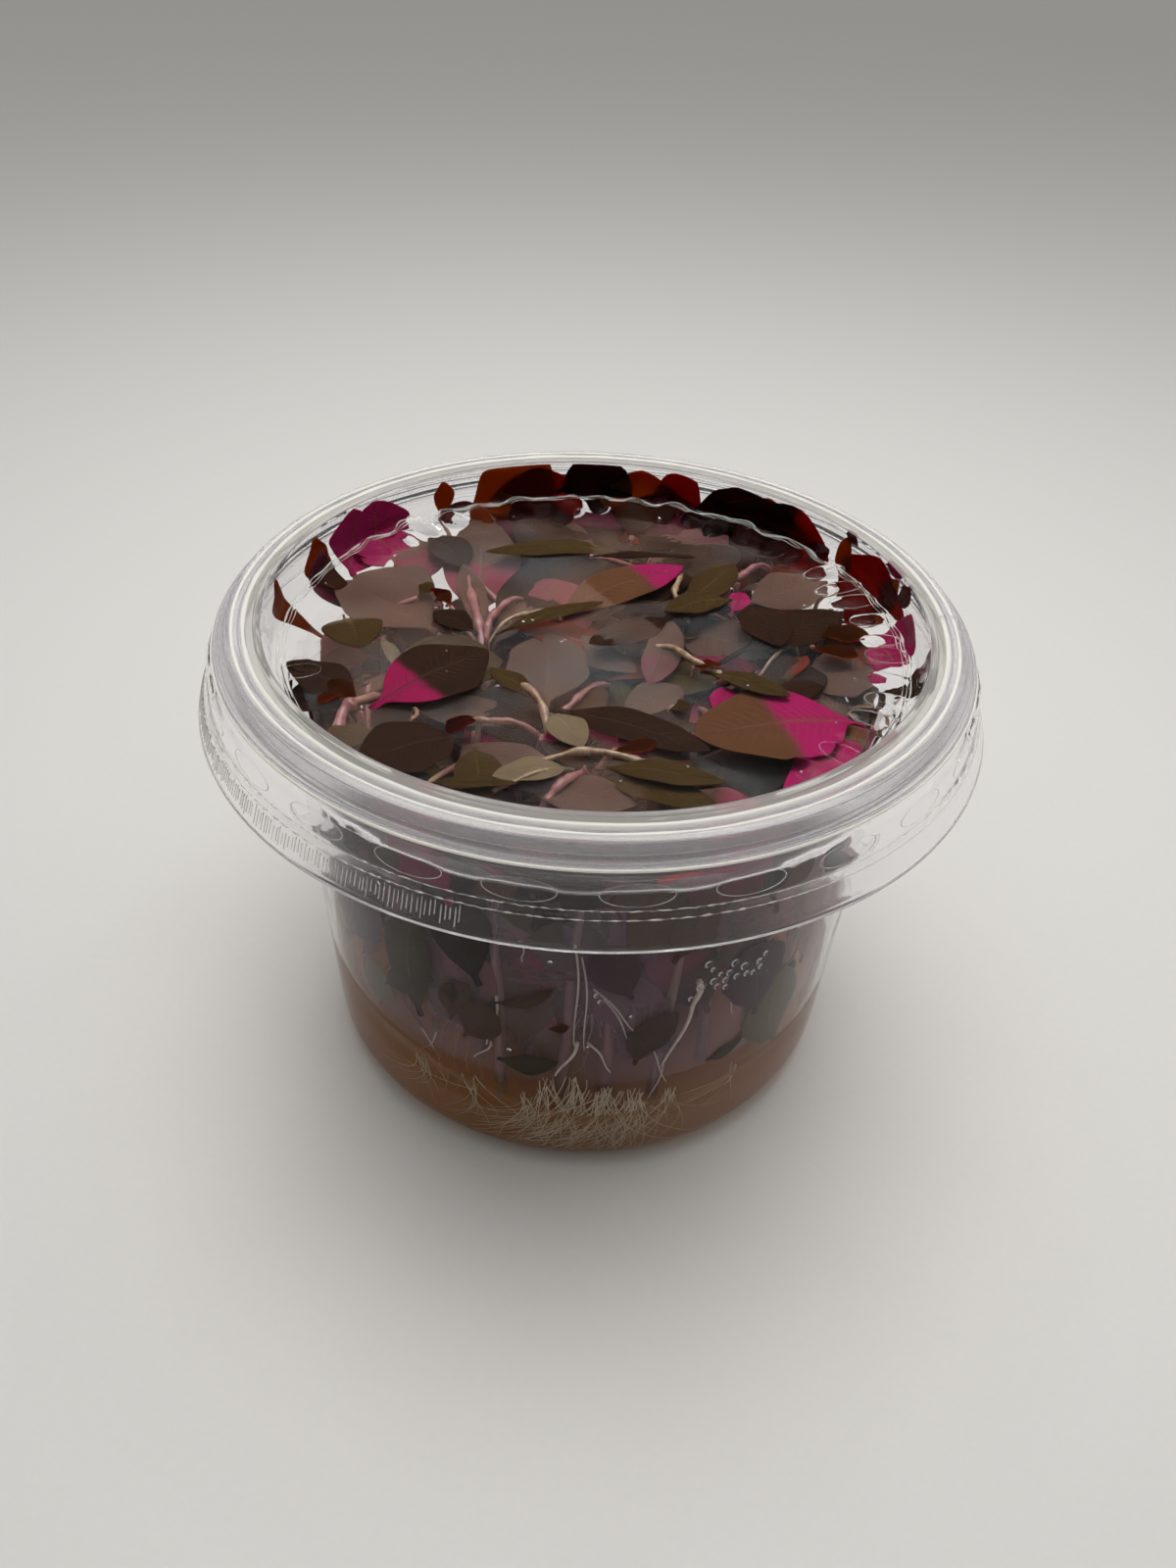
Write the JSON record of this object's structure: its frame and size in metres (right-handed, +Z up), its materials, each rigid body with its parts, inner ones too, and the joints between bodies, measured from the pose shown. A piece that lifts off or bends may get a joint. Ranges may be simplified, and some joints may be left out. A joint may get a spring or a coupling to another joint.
{
  "type": "alternanthera in a tissue culture cup",
  "caption": "Red and olive alternanthera plantlets rooted in amber nutrient gel inside a sealed round clear cup.",
  "frame": {"origin": "middle of the cup's foot, on the surface that it stands on", "axes": "+Z up along the cup's axis, -Y to the front of the picture, +X to its right"},
  "size_m": [0.106, 0.106, 0.0714],
  "materials": {
    "clear": "clear",
    "gel": "clear",
    "stem": "satin",
    "brown": "satin",
    "olive": "satin",
    "rose": "satin",
    "red": "satin",
    "orange": "satin",
    "magenta": "satin",
    "pale": "satin"
  },
  "bodies": {
    "root": {"back_centre_leaf_1": "magenta", "back_centre_leaf_2": "rose", "back_centre_leaf_3": "rose", "back_centre_stem_and_roots": "stem", "back_leaf_1": "olive", "back_leaf_2": "red", "back_standing_leaf_104": "red", "back_standing_leaf_82": "red", "back_stem_and_roots": "stem", "centre_left_leaf_1": "olive", "centre_left_leaf_2": "pale", "centre_left_leaf_3": "brown", "centre_left_leaf_4": "rose", "centre_left_leaf_5": "rose", "centre_left_stem_and_roots": "stem", "centre_right_leaf_1": "olive", "centre_right_leaf_2": "rose", "centre_right_leaf_3": "brown", "centre_right_stem_and_roots": "stem", "cup": "clear", "front_leaf_1": "pale", "front_leaf_2": "olive", "front_leaf_3": "olive", "front_leaf_4": "red", "front_stem_and_roots": "stem", "gel": "gel", "left_back_leaf_1": "olive", "left_back_leaf_2": "rose", "left_back_standing_leaf_141": "magenta", "left_back_standing_leaf_158": "orange", "left_back_standing_leaf_174": "orange", "left_back_stem_and_roots": "stem", "left_front_leaf_1": "brown", "left_front_leaf_2": "orange", "left_front_leaf_3": "olive", "left_front_leaf_4": "brown", "left_front_stem_and_roots": "stem", "left_leaf_1": "brown", "left_leaf_2": "olive", "left_leaf_3": "rose", "left_leaf_4": "rose", "left_stem_and_roots": "stem", "lid": "clear", "near_left_leaf_1": "brown", "near_left_leaf_2": "olive", "near_left_leaf_3": "olive", "near_left_stem_and_roots": "stem", "right_back_leaf_1": "olive", "right_back_leaf_2": "brown", "right_back_leaf_3": "brown", "right_back_standing_leaf_24": "red", "right_back_standing_leaf_54": "red", "right_back_stem_and_roots": "stem", "right_leaf_1": "magenta", "right_leaf_2": "magenta", "right_leaf_3": "rose", "right_leaf_4": "rose", "right_leaf_5": "magenta", "right_standing_leaf_353": "brown", "right_stem_and_roots": "stem"}
  },
  "joints": []
}
